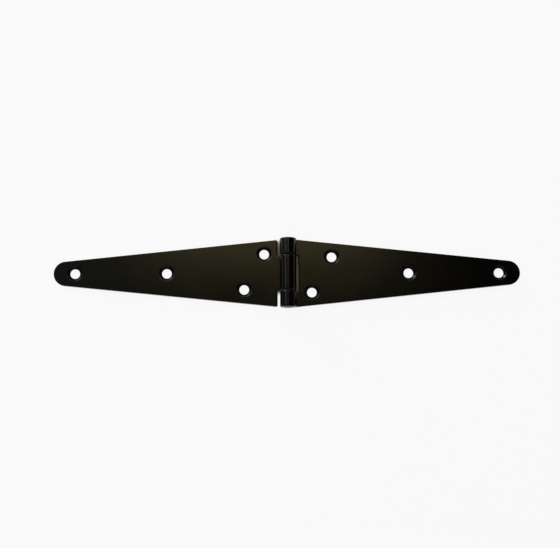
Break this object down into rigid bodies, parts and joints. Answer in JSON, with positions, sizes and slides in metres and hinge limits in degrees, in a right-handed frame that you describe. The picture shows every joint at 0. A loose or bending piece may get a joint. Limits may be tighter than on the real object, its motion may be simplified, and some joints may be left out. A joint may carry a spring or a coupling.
{
  "type": "strap hinge",
  "caption": "Flat strap hinge with long tapered leaves, countersunk screw holes and rolled knuckles that turn on a riveted pin, for a gate, lid or light door.",
  "frame": {"origin": "under the middle of the pin, on the back plane of the open leaves", "axes": "+X along the straps towards the leaf with the outer knuckles, +Y along the pin, +Z out of the front faces with the countersinks"},
  "size_m": [0.2032, 0.0308, 0.0072],
  "materials": {
    "leaf_paint": "satin black paint over sheet steel",
    "pin_paint": "satin black paint over a turned steel pin"
  },
  "bodies": {
    "fixed_leaf": {"leaf_outer_knuckles": "leaf_paint", "hinge_pin": "pin_paint"},
    "swinging_leaf": {"leaf_centre_knuckle": "leaf_paint"}
  },
  "joints": [
    {"name": "leaf_swing", "type": "hinge", "parent": "fixed_leaf", "child": "swinging_leaf", "pos_m": [0, 0, 0.0036], "axis": [0, 1, 0], "range_deg": [-100, 180]}
  ]
}
